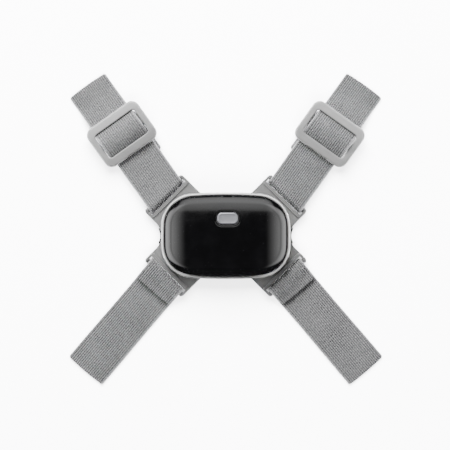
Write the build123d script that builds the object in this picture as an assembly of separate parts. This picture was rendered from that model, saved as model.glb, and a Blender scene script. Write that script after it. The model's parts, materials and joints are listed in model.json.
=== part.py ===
"""Body-worn transceiver in a four-strap cradle, in millimetres.

The unit is a small round-cornered box with one key on its face.  It lifts out of
a cradle whose four arms each carry a bar, and a strap of elastic webbing is looped
round each bar.  The two upper straps run back through an adjuster, and the two
lower straps are stitched down on themselves.

Frame: +Z points away from the wearer, +Y towards the wearer's head and +X across
the chest.  The origin is the middle of the pad that rests on the wearer.
"""
from math import atan2, cos, degrees, hypot, radians, sin, tan
import os

from build123d import *

# ---------------------------------------------------------------- webbing and bars
WEB_WIDTH = 25.0          # elastic webbing, the standard 25 mm size
WEB_THICK = 1.2
BAR_RADIUS = 1.4          # round bar that a strap hangs on
LOOP_GAP = 0.15           # between a bar and the webbing round it
LAYER_GAP = 0.1           # between two layers of webbing
RUN_GAP = 0.3             # between pieces that move past each other

# ---------------------------------------------------------------- unit
UNIT_LENGTH = 69.2        # along X
UNIT_WIDTH = 45.2         # along Y
END_BOW = 0.5             # how far the short sides bulge
SIDE_BOW = 2.2            # how far the long sides bulge
CORNER_RADIUS = 16.4
SHELL_WALL = 1.5
REAR_HEIGHT = 5.2         # rear shell, base to seam
FRONT_HEIGHT = 7.8        # front shell, seam to the middle of its face
CROWN_RADIUS = 200.0      # sphere that the face is part of
FACE_EDGE_RADIUS = 4.6
REAR_EDGE_RADIUS = 1.2
SEAL_WIDTH = 0.6

# ---------------------------------------------------------------- cradle
POCKET_GAP = 0.35         # between the unit and the cradle's wall
RIM_WALL = 1.55
RIM_HEIGHT = 8.9          # wall, from the cradle's underside
FLOOR_THICK = 2.0
ARM_THICK = 2.8
ARM_ANGLE = 45.0          # from +X
ARM_EDGE_ROUND = 0.5
SLOT_LENGTH = WEB_WIDTH + 2.0
ARM_WIDTH = SLOT_LENGTH + 3.0
SLOT_OFFSET = (UNIT_LENGTH - UNIT_WIDTH) / 3   # arm's centreline, from the diagonal towards X
SLOT_MARGIN = 3.1         # cradle's wall to the slot's inner edge, along the diagonal
SLOT_REACH = 3.4          # slot's inner edge to the bar's centre
FRAME_BAND = 2.1          # raised frame beside the slot
FRAME_RAISE = 0.6
ARM_CORNER = 3.2
SCALLOP_RADIUS = 8.1      # hollow in each end of the pad
PAD_SHOW = 0.9            # how far the pad stands out of the wall at each end
PAD_EAR = 8.6             # width of the pad where it shows

# ---------------------------------------------------------------- key
KEY_X = 1.0
KEY_Y = UNIT_WIDTH / 2 - 12.9
KEY_LENGTH, KEY_WIDTH = 12.0, 7.0
KEY_CORNER = 2.8
KEY_GAP = 0.25
KEY_TRAVEL = 0.5
KEY_PROUD = 0.25
KEY_EDGE_ROUND = 0.35
KEY_FLANGE = 0.8          # how far the retaining flange stands out
KEY_FLANGE_THICK = 0.8
KEY_RECESS = 0.25         # shallow recess in the face round the key
KEY_RECESS_MARGIN = 1.25

# ---------------------------------------------------------------- electronics
BOARD_LENGTH = UNIT_LENGTH - 12.2
BOARD_WIDTH = UNIT_WIDTH - 12.2
BOARD_THICK = 1.0
BOARD_CORNER = 9.0
BOSS_X = UNIT_LENGTH / 2 - 10.0
BOSS_Y = UNIT_WIDTH / 2 - 9.0
BOSS_RADIUS = 2.1
POST_RADIUS = 3.2         # the wider posts that hold the board from both sides
SCREW_RADIUS, SCREW_HEAD_RADIUS, SCREW_HEAD_HEIGHT = 0.8, 1.6, 1.0
SCREW_LENGTH = 7.0
THREAD_GAP = 0.02
BATTERY_LENGTH, BATTERY_WIDTH, BATTERY_THICK = 31.0, 23.0, 2.9
FOAM_THICK = 0.4
CORE_RADIUS = 1.4         # ferrite rods
WINDING_RADIUS = 1.75
SOCKET_X = 1.0
SOCKET_LENGTH, SOCKET_HEIGHT, SOCKET_DEPTH = 7.4, 2.5, 5.4
SOCKET_WALL = 0.35
SOCKET_GAP = 0.1          # between the socket and the shell round it
PORT_LENGTH, PORT_HEIGHT, PORT_DEPTH = 8.4, 4.4, 1.2   # recess for the plug's grip
PORT_BACKING = 0.9        # extra wall behind that recess

# ---------------------------------------------------------------- straps
UPPER_ANGLE = 54.4        # strap's direction, from X
UPPER_LENGTH = 76.4       # bar's centre to the cut end
LOWER_ANGLE = 49.6
LOWER_LENGTH = 70.1
UPPER_SQUARE = 19.0       # from here on, a strap is square to its own length
LOWER_SQUARE = 8.6
STRAP_SHIFT = 0.25        # strap's centre in its slot, away from the X axis
FLAP_LENGTH = 10.7        # stitched-down end of a lower strap
ADJUSTER_DISTANCE = 41.8  # bar's centre to the adjuster's centre
SEWN_END = 19.8           # adjuster's centre to the stitched end inside the loop
STITCH_RADIUS = 0.18
STITCH_LENGTH = 1.6
STITCHES = 9

# ---------------------------------------------------------------- adjuster
WINDOW_WIDTH = WEB_WIDTH + 2.4
WINDOW_LENGTH = 15.7
WINDOW_CORNER = 1.8
ADJUSTER_WIDTH = WINDOW_WIDTH + 7.6    # across the strap
ADJUSTER_LENGTH = WINDOW_LENGTH + 10.2  # along the strap
ADJUSTER_BOW = 0.7        # how far its long sides bulge
ADJUSTER_THICK = 3.0
ADJUSTER_CORNER = 4.8
CROSSBAR_WIDTH = 3.2
CROSSBAR_THICK = 2.0
EDGE_ROUND = 0.9

# ---------------------------------------------------------------- heights, from the above
BAR_Z = WEB_THICK + LOOP_GAP + BAR_RADIUS
CRADLE_Z = BAR_Z - ARM_THICK / 2
FLOOR_Z = CRADLE_Z + FLOOR_THICK
RIM_Z = CRADLE_Z + RIM_HEIGHT
UNIT_Z = FLOOR_Z + RUN_GAP
SEAM_Z = UNIT_Z + REAR_HEIGHT
FACE_Z = SEAM_Z + FRONT_HEIGHT
REAR_FLOOR_Z = UNIT_Z + SHELL_WALL
BOARD_TOP = SEAM_Z + BOARD_THICK
OVERLAP = 0.5             # how far joined solids run into each other
WALL_GROW = POCKET_GAP + RIM_WALL
WALL_X = UNIT_LENGTH / 2 + WALL_GROW
WALL_CORNER = 20.0 / 36.5 * WALL_X     # round corner that the bowed outline follows
WALL_DIAGONAL = (WALL_X + UNIT_WIDTH / 2 + WALL_GROW - 2 * WALL_CORNER) * sin(radians(45))
SLOT_DISTANCE = WALL_DIAGONAL + WALL_CORNER + SLOT_MARGIN
BAR_DISTANCE = SLOT_DISTANCE + SLOT_REACH
LOOP_RADIUS = BAR_RADIUS + LOOP_GAP + WEB_THICK / 2


# ---------------------------------------------------------------- outlines
def oval(grow=0.0):
    """The unit's bowed, round-cornered outline, moved outwards by grow."""
    half_x = UNIT_LENGTH / 2 + grow
    half_y = UNIT_WIDTH / 2 + grow
    corner_x = half_x - END_BOW
    corner_y = half_y - SIDE_BOW
    edges = [
        ThreePointArc((corner_x, corner_y), (0, half_y), (-corner_x, corner_y)),
        ThreePointArc((-corner_x, corner_y), (-half_x, 0), (-corner_x, -corner_y)),
        ThreePointArc((-corner_x, -corner_y), (0, -half_y), (corner_x, -corner_y)),
        ThreePointArc((corner_x, -corner_y), (half_x, 0), (corner_x, corner_y)),
    ]
    face = make_face(edges)
    return fillet(face.vertices(), CORNER_RADIUS + grow)


def rounded(length, width, corner):
    """A rectangle with round corners."""
    return RectangleRounded(length, width, corner)


def slab(face, low, high):
    """A flat face stood up between two heights."""
    return Pos(0, 0, low) * extrude(face, high - low)


def rod(radius, low, high):
    """An upright round rod between two heights."""
    return slab(Circle(radius), low, high)


def ribbon(points, radii, thick):
    """A strip's side outline: its centreline's points, the radius at each bend, and its thickness."""
    left, right, left_radii, right_radii = [], [], [], []
    for i, (x, y) in enumerate(points):
        before = points[i - 1] if i else None
        after = points[i + 1] if i < len(points) - 1 else None
        into = None if before is None else unit_vector(x - before[0], y - before[1])
        out = None if after is None else unit_vector(after[0] - x, after[1] - y)
        a = into or out
        b = out or into
        turn = atan2(a[0] * b[1] - a[1] * b[0], a[0] * b[0] + a[1] * b[1])
        middle = unit_vector(a[0] + b[0], a[1] + b[1])
        reach = thick / 2 / cos(turn / 2)
        left.append((x - middle[1] * reach, y + middle[0] * reach))
        right.append((x + middle[1] * reach, y - middle[0] * reach))
        if before is None or after is None:
            left_radii.append(0)
            right_radii.append(0)
            continue
        side = thick / 2 if turn > 0 else -thick / 2
        left_radii.append(radii[i - 1] - side)
        right_radii.append(radii[i - 1] + side)
    outline = FilletPolyline(
        *left, *reversed(right), radius=left_radii + right_radii[::-1], close=True
    )
    return make_face(outline)


def unit_vector(x, y):
    """The same direction, one long."""
    size = hypot(x, y)
    return (x / size, y / size)


# ---------------------------------------------------------------- cradle and pad
def arm_frame():
    """Places a solid built with +X along the first-quadrant arm and Y = 0 on its centreline."""
    return Rot(0, 0, ARM_ANGLE) * Pos(0, -SLOT_OFFSET, 0)


def arm():
    """One arm: a plate, the raised frame round its slot, and the round bar across its end."""
    reach = BAR_DISTANCE + BAR_RADIUS + 0.2
    plate = Pos(reach / 2, 0, 0) * Rectangle(reach, ARM_WIDTH)
    plate = fillet(plate.vertices().group_by(Axis.X)[-1], ARM_CORNER)
    solid = slab(plate, CRADLE_Z, CRADLE_Z + ARM_THICK)
    solid = fillet(solid.edges().group_by(Axis.Z)[-1], ARM_EDGE_ROUND)
    frame_start = SLOT_DISTANCE - FRAME_BAND
    frame_length = reach - frame_start
    band = Pos(frame_start + frame_length / 2, 0, 0) * rounded(
        frame_length, ARM_WIDTH, FRAME_BAND
    )
    raised = slab(band, CRADLE_Z + ARM_THICK / 2, CRADLE_Z + ARM_THICK + FRAME_RAISE)
    raised = fillet(raised.edges().group_by(Axis.Z)[-1], FRAME_RAISE * 0.8)
    solid += raised
    slot_length = reach - SLOT_DISTANCE + OVERLAP
    slot = Pos(SLOT_DISTANCE + slot_length / 2, 0, 0) * Rectangle(slot_length, SLOT_LENGTH)
    solid -= slab(slot, 0, RIM_Z)
    bar_length = SLOT_LENGTH + 2 * OVERLAP
    bar = Pos(BAR_DISTANCE, 0, BAR_Z) * Rot(90, 0, 0) * Cylinder(BAR_RADIUS, bar_length)
    return solid + bar


def quadrants(solid):
    """The solid and its mirror images in the other three quadrants."""
    pair = solid + mirror(solid, about=Plane.YZ)
    return pair + mirror(pair, about=Plane.XZ)


def waist():
    """The round corner between two arms' edges, at the +X end."""
    corner = (ARM_WIDTH / 2 + SLOT_OFFSET) / sin(radians(ARM_ANGLE))
    radius = (WALL_X - corner) / (2**0.5 - 1)
    far = corner + radius / 2**0.5
    plan = make_face(Polyline((corner, 0), (far, far - corner), (far, corner - far), close=True))
    plan -= Pos(corner + radius * 2**0.5, 0) * Circle(radius)
    return slab(plan, CRADLE_Z, CRADLE_Z + ARM_THICK)


def cradle():
    """The moulded cradle: floor, wall and four arms."""
    outer = oval(WALL_GROW)
    pocket = slab(oval(POCKET_GAP), FLOOR_Z, RIM_Z + 1)
    body = slab(outer, CRADLE_Z, RIM_Z) - pocket
    body = fillet(body.edges().group_by(Axis.Z)[-1], RIM_WALL * 0.38)
    arms = quadrants(arm_frame() * arm())
    arms += waist()
    arms += mirror(waist(), about=Plane.YZ)
    arms -= slab(oval(POCKET_GAP + RIM_WALL / 2), 0, RIM_Z)
    return body + arms


def back_pad():
    """Rubber pad under the cradle, seen in the waist between the arms at each end."""
    scallop = Circle(SCALLOP_RADIUS)
    scallop_x = WALL_X + PAD_SHOW + SCALLOP_RADIUS
    ears = Rectangle(2 * (WALL_X + 2 * PAD_SHOW), PAD_EAR)
    ears -= Pos(scallop_x, 0) * scallop
    ears -= Pos(-scallop_x, 0) * scallop
    return slab(oval(WALL_GROW - RIM_WALL) + ears, 0, CRADLE_Z)


# ---------------------------------------------------------------- shells
def crowned(grow, low, top, edge_radius):
    """A block with the unit's outline, a crowned top and rounded top edges."""
    block = slab(oval(grow), low, top + 1)
    block &= dome(top)
    face = block.faces().sort_by(Axis.Z)[-1]
    return fillet(face.edges(), edge_radius)


def dome(top):
    """The ball that a crowned face with this highest point is part of."""
    return Pos(0, 0, top - CROWN_RADIUS) * Rot(90, 0, 0) * Sphere(CROWN_RADIUS)


def at_bosses(solid):
    """The solid at each of the four screw places."""
    return [Pos(x, y, 0) * solid for x in (-BOSS_X, BOSS_X) for y in (-BOSS_Y, BOSS_Y)]


def key_plan(margin):
    """The key's outline, moved outwards by margin."""
    outline = rounded(KEY_LENGTH + 2 * margin, KEY_WIDTH + 2 * margin, KEY_CORNER + margin)
    return Pos(KEY_X, KEY_Y) * outline


def front_shell():
    """Glossy front: crowned face, key hole, socket hole and four screw bosses."""
    outer = crowned(0, SEAM_Z, FACE_Z, FACE_EDGE_RADIUS)
    inner = crowned(-SHELL_WALL, SEAM_Z, CEILING_Z, FACE_EDGE_RADIUS - SHELL_WALL)
    half_wall = SHELL_WALL / 2
    middle = crowned(-half_wall, SEAM_Z, FACE_Z - half_wall, FACE_EDGE_RADIUS - half_wall)
    shell = outer - inner
    boss = rod(BOSS_RADIUS, SEAM_Z, FACE_Z) + rod(POST_RADIUS, BOARD_TOP, FACE_Z)
    for each in at_bosses(boss) + [port_backing()]:
        shell += each & middle
    for hole in at_bosses(rod(SCREW_RADIUS + THREAD_GAP, SEAM_Z - 1, SCREW_TOP + OVERLAP)):
        shell -= hole
    shell -= slab(key_plan(KEY_GAP), CEILING_Z - 2, FACE_Z + 1)
    shell -= slab(key_plan(KEY_RECESS_MARGIN), CEILING_Z, FACE_Z + 1) - dome(FACE_Z - KEY_RECESS)
    shell -= port_recess()
    return shell - extrude(socket_plan(SOCKET_GAP), UNIT_WIDTH / 2)


def key_face_z():
    """Height of the crowned face at the key's centre."""
    return FACE_Z - (KEY_X**2 + KEY_Y**2) / (2 * CROWN_RADIUS)


def rear_shell():
    """Matte rear tray with screw posts and a groove for the seal."""
    outer = slab(oval(), UNIT_Z, SEAM_Z)
    outer = fillet(outer.edges().group_by(Axis.Z)[0], REAR_EDGE_RADIUS)
    tray = outer - slab(oval(-SHELL_WALL), REAR_FLOOR_Z, SEAM_Z + 1)
    for post in at_bosses(rod(POST_RADIUS, UNIT_Z + 1, SEAM_Z)) + saddles():
        tray += post
    for rods in (long_antenna()[0], cross_antenna()[0]):
        tray -= rods
    for hole in at_bosses(rod(SCREW_RADIUS + KEY_GAP, UNIT_Z - 1, SEAM_Z + 1)):
        tray -= hole
    for sink in at_bosses(rod(SCREW_HEAD_RADIUS + KEY_GAP, UNIT_Z - 1, HEAD_SEAT_Z)):
        tray -= sink
    return tray - seal_ring(0)


def saddles():
    """Ribs on the rear shell's floor that the two ferrite rods' ends lie in."""
    rib = slab(Rectangle(1.2, 4.0), UNIT_Z + 1, ANTENNA_Z)
    long_ends = [Pos(x, ANTENNA_Y, 0) * rib for x in (-LONG_CORE / 2 + 1, LONG_CORE / 2 - 1)]
    cross = Rot(0, 0, 90) * rib
    spots = (CROSS_Y - CROSS_CORE / 2 + 1, CROSS_Y + CROSS_CORE / 2 - 1)
    return long_ends + [Pos(CROSS_X, y, 0) * cross for y in spots]


def seal_ring(slack):
    """The ring-shaped space of the seal's groove, smaller by slack on each face."""
    middle = -SHELL_WALL / 2
    ring = oval(middle + SEAL_WIDTH / 2 - slack) - oval(middle - SEAL_WIDTH / 2 + slack)
    return slab(ring, SEAM_Z - SEAL_WIDTH + slack, SEAM_Z)


def case_screws():
    """Four screws that pull the rear shell onto the front shell's bosses."""
    head = rod(SCREW_HEAD_RADIUS, HEAD_SEAT_Z - SCREW_HEAD_HEIGHT, HEAD_SEAT_Z)
    drive = rod(SCREW_RADIUS * 0.8, HEAD_SEAT_Z - SCREW_HEAD_HEIGHT, HEAD_SEAT_Z - 0.4)
    shank = rod(SCREW_RADIUS, HEAD_SEAT_Z, SCREW_TOP)
    return at_bosses(head - drive + shank)


# ---------------------------------------------------------------- key
def power_key():
    """The key: cap, retaining flange behind the face, and stem down to the switch."""
    top = key_face_z() + KEY_PROUD
    cap = slab(key_plan(0), FLANGE_TOP - OVERLAP, top)
    cap = fillet(cap.edges().group_by(Axis.Z)[-1], KEY_EDGE_ROUND)
    flange = slab(key_plan(KEY_FLANGE), FLANGE_TOP - KEY_FLANGE_THICK, FLANGE_TOP)
    stem = Pos(KEY_X, KEY_Y, 0) * rod(1.5, STEM_Z, FLANGE_TOP)
    return cap + flange + stem


def key_seal():
    """Soft ring between the key's flange and the inside of the face."""
    ring = key_plan(KEY_FLANGE + 0.3) - key_plan(KEY_GAP)
    return slab(ring, FLANGE_TOP + 0.05, FLANGE_TOP + 0.35)


def switch_body():
    """Push switch on the board, under the key."""
    body = Pos(KEY_X, KEY_Y, 0) * slab(Rectangle(6.0, 3.6), BOARD_TOP, SWITCH_TOP)
    return body - Pos(KEY_X, KEY_Y, 0) * rod(1.0, BOARD_TOP + 0.3, SWITCH_TOP + 1)


def switch_plunger():
    """The switch's plunger, which the key's stem carries down."""
    return Pos(KEY_X, KEY_Y, 0) * rod(0.9, BOARD_TOP + 1.1, STEM_Z)


# ---------------------------------------------------------------- inside the unit
def main_board():
    """Circuit board, cut away round the four screw bosses, with a tab under the socket."""
    tab_end = UNIT_WIDTH / 2 - SHELL_WALL - PORT_BACKING - RUN_GAP
    tab = Pos(SOCKET_X, tab_end / 2) * Rectangle(SOCKET_LENGTH + 3, tab_end)
    plate = slab(rounded(BOARD_LENGTH, BOARD_WIDTH, BOARD_CORNER) + tab, SEAM_Z, BOARD_TOP)
    for notch in at_bosses(rod(BOSS_RADIUS + RUN_GAP, SEAM_Z - 1, BOARD_TOP + 1)):
        plate -= notch
    return plate


def battery_cell():
    """Flat rechargeable cell on the rear shell's floor."""
    low = REAR_FLOOR_Z + FOAM_THICK
    plan = rounded(BATTERY_LENGTH, BATTERY_WIDTH, 1.5)
    cell = slab(Pos(BATTERY_X, BATTERY_Y) * plan, low, low + BATTERY_THICK)
    return fillet(cell.edges().group_by(Axis.Z)[-1], 0.6)


def battery_foam():
    """Adhesive foam under the cell."""
    plan = Rectangle(BATTERY_LENGTH - 4, BATTERY_WIDTH - 4)
    return slab(Pos(BATTERY_X, BATTERY_Y) * plan, REAR_FLOOR_Z, REAR_FLOOR_Z + FOAM_THICK)


def rod_antenna(length):
    """A ferrite rod along X, and the winding round its middle."""
    core = Rot(0, 90, 0) * Cylinder(CORE_RADIUS, length)
    sleeve = Rot(0, 90, 0) * Cylinder(WINDING_RADIUS, length * 0.6)
    return core, sleeve - core


def long_antenna():
    """Core and winding of the antenna along X."""
    return [Pos(0, ANTENNA_Y, ANTENNA_Z) * each for each in rod_antenna(LONG_CORE)]


def cross_antenna():
    """Core and winding of the antenna along Y."""
    lie = Pos(CROSS_X, CROSS_Y, ANTENNA_Z) * Rot(0, 0, 90)
    return [lie * each for each in rod_antenna(CROSS_CORE)]


def loop_antenna():
    """Flat coil on the board for the third axis."""
    coil = Circle(10.0) - Circle(7.2)
    return slab(Pos(-16.0, -2.0) * coil, BOARD_TOP, BOARD_TOP + 1.2)


def shield_can():
    """Sheet-metal shield over the radio, open underneath."""
    can = slab(Rectangle(11.0, 11.0), BOARD_TOP, BOARD_TOP + 1.8)
    can = fillet(can.edges().group_by(Axis.Z)[-1], 0.4)
    can -= slab(Rectangle(10.5, 10.5), BOARD_TOP - 1, BOARD_TOP + 1.5)
    return Pos(2.0, -8.0, 0) * can


def radio_chip():
    """Radio chip under the shield."""
    return slab(Pos(2.0, -8.0) * Rectangle(5.0, 5.0), BOARD_TOP, BOARD_TOP + 0.8)


def buzzer():
    """Round sounder on the board, with its sound hole."""
    can = rod(5.5, BOARD_TOP, BOARD_TOP + 2.4) - rod(0.8, BOARD_TOP + 1.4, BOARD_TOP + 3)
    return Pos(18.5, -2.0, 0) * can


def vibration_motor():
    """Coin motor on the rear shell's floor."""
    return Pos(MOTOR_X, 0, 0) * rod(4.0, REAR_FLOOR_Z, REAR_FLOOR_Z + 2.7)


def status_light():
    """Small light on the board beside the switch."""
    return slab(Pos(KEY_X + 4.6, KEY_Y) * Rectangle(0.8, 1.6), BOARD_TOP, BOARD_TOP + 0.6)


def board_plug():
    """Battery connector on the underside of the board."""
    return slab(Pos(PLUG_X, BATTERY_Y) * Rectangle(3.0, 5.0), SEAM_Z - 1.4, SEAM_Z)


def battery_leads():
    """Two short leads from the cell's end to its connector."""
    start = BATTERY_X - BATTERY_LENGTH / 2
    length = start - PLUG_X - 1.5
    lead = Pos(start - length / 2, 0, SEAM_Z - 0.9) * Rot(0, 90, 0) * Cylinder(0.35, length)
    return [Pos(0, BATTERY_Y + side, 0) * lead for side in (-1.2, 1.2)]


def socket_plan(grow):
    """The socket's mouth, seen along Y, moved outwards by grow."""
    plan = rounded(SOCKET_LENGTH + 2 * grow, SOCKET_HEIGHT + 2 * grow, 0.6 + grow)
    middle = BOARD_TOP + SOCKET_HEIGHT / 2
    return Plane((SOCKET_X, SOCKET_BACK, middle), x_dir=(1, 0, 0), z_dir=(0, 1, 0)) * plan


def charging_socket():
    """Charging socket: a metal sleeve with a closed back and a contact tongue."""
    sleeve = extrude(socket_plan(0), SOCKET_DEPTH)
    sleeve -= Pos(0, 0.6, 0) * extrude(socket_plan(-SOCKET_WALL), SOCKET_DEPTH)
    tongue = Box(4.2, SOCKET_DEPTH - 1.6, 0.6)
    middle = BOARD_TOP + SOCKET_HEIGHT / 2
    return sleeve + Pos(SOCKET_X, SOCKET_BACK + (SOCKET_DEPTH - 1.6) / 2 + 0.3, middle) * tongue


def port_recess():
    """Space for the plug's grip, sunk into the front shell's side."""
    level = BOARD_TOP + SOCKET_HEIGHT / 2 + 0.6
    depth = UNIT_WIDTH / 2 - PORT_DEPTH
    face = Plane((SOCKET_X, depth, level), x_dir=(1, 0, 0), z_dir=(0, 1, 0))
    return extrude(face * rounded(PORT_LENGTH, PORT_HEIGHT, 1.6), 2 * PORT_DEPTH)


def port_backing():
    """Thicker wall behind the plug recess."""
    depth = SHELL_WALL + PORT_BACKING
    plan = Pos(SOCKET_X, UNIT_WIDTH / 2 - depth / 2) * Rectangle(PORT_LENGTH + 3, depth)
    return slab(plan, SEAM_Z, FACE_Z)


# ---------------------------------------------------------------- straps
def strap_frame(sign_x, sign_y, angle):
    """Bar's centre on the ground, the strap's direction, and the bar's direction."""
    along_arm = Vector(sign_x * cos(radians(ARM_ANGLE)), sign_y * sin(radians(ARM_ANGLE)), 0)
    across = Vector(sign_x * sin(radians(ARM_ANGLE)), -sign_y * cos(radians(ARM_ANGLE)), 0)
    start = along_arm * BAR_DISTANCE + across * (SLOT_OFFSET - STRAP_SHIFT)
    strap = Vector(sign_x * cos(radians(angle)), sign_y * sin(radians(angle)), 0)
    return start, strap, across


def strap_solid(outline, sign_x, sign_y, angle, length, square_from):
    """Webbing with this side outline.

    The turn is drawn out along the bar.  From square_from on, the rest is drawn out
    square to the strap, and the strap ends at length in a square cut.
    """
    start, strap, bar = strap_frame(sign_x, sign_y, angle)
    side = Plane(start, x_dir=strap, z_dir=strap.cross(Vector(0, 0, 1)))
    profile = side * outline
    skewed = WEB_WIDTH / bar.dot(side.z_dir)
    turned = extrude(profile.moved(Location(bar * (-skewed / 2))), skewed, dir=bar)
    square = extrude(profile, WEB_WIDTH / 2, both=True)
    level = Plane(start, x_dir=strap, z_dir=(0, 0, 1))
    reach = length - square_from
    near = level * Pos(square_from - length / 2, 0, 0) * Box(length, 4 * WEB_WIDTH, length)
    far = level * Pos(square_from + reach / 2, 0, 0) * Box(reach, 4 * WEB_WIDTH, length)
    return (turned & near) + (square & far)


def bar_turn():
    """Centreline corners and radii of the half turn round a bar, from its top to its underside."""
    radius = LOOP_RADIUS - 0.01
    corners = [(-LOOP_RADIUS, BAR_Z + LOOP_RADIUS), (-LOOP_RADIUS, BAR_Z - LOOP_RADIUS)]
    return corners, [radius, radius]


def lower_profile():
    """Side outline of a lower strap: flap, turn round the bar, and the long layer."""
    turn, turn_radii = bar_turn()
    low = turn[1][1]
    rest = low + WEB_THICK + LAYER_GAP
    flap_end = FLAP_LENGTH
    tail = (LOWER_LENGTH + 1, low)
    points = [(flap_end, rest), (6.5, rest), (0.8, turn[0][1]), *turn, tail]
    return ribbon(points, [6.0, 3.0, *turn_radii], WEB_THICK)


def upper_profile():
    """Side outline of an upper strap: free end, adjuster, bar, back layer and stitched end."""
    turn, turn_radii = bar_turn()
    low = turn[1][1]
    centre = ADJUSTER_DISTANCE
    half_window = WINDOW_LENGTH / 2
    under = ADJUSTER_Z - RUN_GAP - WEB_THICK / 2
    crest = CROSSBAR_TOP + 2 * LOOP_GAP + 1.5 * WEB_THICK
    loop = (CROSSBAR_TOP + LOOP_GAP + WEB_THICK / 2, CROSSBAR_WIDTH / 2 + LOOP_GAP + WEB_THICK / 2)
    points = [
        (UPPER_LENGTH + 1, low),
        (centre + 26.0, low),
        (centre + 13.5, under),
        (centre + half_window - 0.2, under),
        (centre + 2.9, crest),
        (centre - 2.9, crest),
        (centre - half_window + 0.2, under),
        (UPPER_SQUARE - 2.0, under),
        (1.0, turn[0][1]),
        *turn,
        (centre + loop[1], low),
        (centre + loop[1], loop[0]),
        (centre - loop[1], loop[0]),
        (centre - loop[1] - 1.1, low + WEB_THICK + LAYER_GAP),
        (centre - SEWN_END, low + WEB_THICK + LAYER_GAP),
    ]
    radii = [12.0, 12.0, 2.0, 2.6, 2.6, 2.0, 12.0, 8.0, *turn_radii, 1.1, 1.1, 1.1, 0.8]
    return ribbon(points, radii, WEB_THICK)


def stitch_row(sign_x, sign_y, angle, distance, top):
    """A row of thread stitches across a strap, lying on a layer whose top is at this height."""
    start, strap, _ = strap_frame(sign_x, sign_y, angle)
    level = Plane(start, x_dir=strap, z_dir=(0, 0, 1))
    pitch = (WEB_WIDTH - 3.0) / STITCHES
    thread = Rot(90, 0, 0) * Cylinder(STITCH_RADIUS, STITCH_LENGTH)
    height = top + STITCH_RADIUS + 0.01
    places = [pitch * (i - (STITCHES - 1) / 2) for i in range(STITCHES)]
    return [level * Pos(distance, place, height) * thread for place in places]


def adjuster(sign_x, sign_y, angle):
    """Three-bar adjuster: round-cornered frame and a lower crossbar that carries the webbing."""
    half_l, half_w = ADJUSTER_LENGTH / 2, ADJUSTER_WIDTH / 2
    inner = half_l - ADJUSTER_BOW
    edges = [
        ThreePointArc((inner, half_w), (half_l, 0), (inner, -half_w)),
        Line((inner, -half_w), (-inner, -half_w)),
        ThreePointArc((-inner, -half_w), (-half_l, 0), (-inner, half_w)),
        Line((-inner, half_w), (inner, half_w)),
    ]
    plan = make_face(edges)
    plan = fillet(plan.vertices(), ADJUSTER_CORNER)
    plan -= rounded(WINDOW_LENGTH, WINDOW_WIDTH, WINDOW_CORNER)
    top = ADJUSTER_Z + ADJUSTER_THICK
    frame = slab(plan, ADJUSTER_Z, top)
    frame = fillet(frame.edges().group_by(Axis.Z)[-1], EDGE_ROUND)
    cheek = Rectangle(CROSSBAR_WIDTH + 1.6, 1.6)
    cheek_y = WINDOW_WIDTH / 2 + 0.6
    for side in (-1, 1):
        frame += slab(Pos(0, side * cheek_y) * cheek, CROSSBAR_TOP - CROSSBAR_THICK, top - 1)
    crossbar = Box(CROSSBAR_WIDTH, 2 * cheek_y, CROSSBAR_THICK)
    crossbar = fillet(crossbar.edges().filter_by(Axis.Y), 0.8)
    frame += Pos(0, 0, CROSSBAR_TOP - CROSSBAR_THICK / 2) * crossbar
    start, strap, _ = strap_frame(sign_x, sign_y, angle)
    level = Plane(start, x_dir=strap, z_dir=(0, 0, 1))
    return level * Pos(ADJUSTER_DISTANCE, 0, 0) * frame


# ---------------------------------------------------------------- places that follow
CEILING_Z = FACE_Z - SHELL_WALL
HEAD_SEAT_Z = UNIT_Z + 1.6
SCREW_TOP = HEAD_SEAT_Z + SCREW_LENGTH
FLANGE_CORNER = (KEY_X + KEY_LENGTH / 2, KEY_Y + KEY_WIDTH / 2)   # highest place it meets the face
FLANGE_DROP = (FLANGE_CORNER[0] ** 2 + FLANGE_CORNER[1] ** 2) / (2 * CROWN_RADIUS)
FLANGE_TOP = CEILING_Z - FLANGE_DROP - 0.5
SWITCH_TOP = BOARD_TOP + 1.5
STEM_Z = SWITCH_TOP + KEY_TRAVEL + RUN_GAP
BATTERY_X, BATTERY_Y = -5.0, 3.6
LONG_CORE, CROSS_CORE, CROSS_Y = 40.0, 22.0, 3.0
ANTENNA_Z = REAR_FLOOR_Z + WINDING_RADIUS + 0.05
ANTENNA_Y = BATTERY_Y - BATTERY_WIDTH / 2 - WINDING_RADIUS - 1.2
CROSS_X = BATTERY_X + BATTERY_LENGTH / 2 + WINDING_RADIUS + 0.8
MOTOR_X = CROSS_X + WINDING_RADIUS + 5.0
PLUG_X = BATTERY_X - BATTERY_LENGTH / 2 - 3.0
SOCKET_BACK = UNIT_WIDTH / 2 - SHELL_WALL - SOCKET_DEPTH + 0.4
CROSSBAR_TOP = 2 * WEB_THICK + LAYER_GAP + LOOP_GAP + CROSSBAR_THICK
ADJUSTER_Z = 3 * WEB_THICK + 2 * LAYER_GAP + 2 * RUN_GAP


def save(name, shape):
    """Writes one node: a solid, or a list of separate solids."""
    solids = shape if isinstance(shape, list) else [shape]
    solids = [solid for item in solids for solid in item.solids()]
    export_step(Compound(children=solids) if len(solids) > 1 else solids[0], f"parts/{name}.step")


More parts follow.
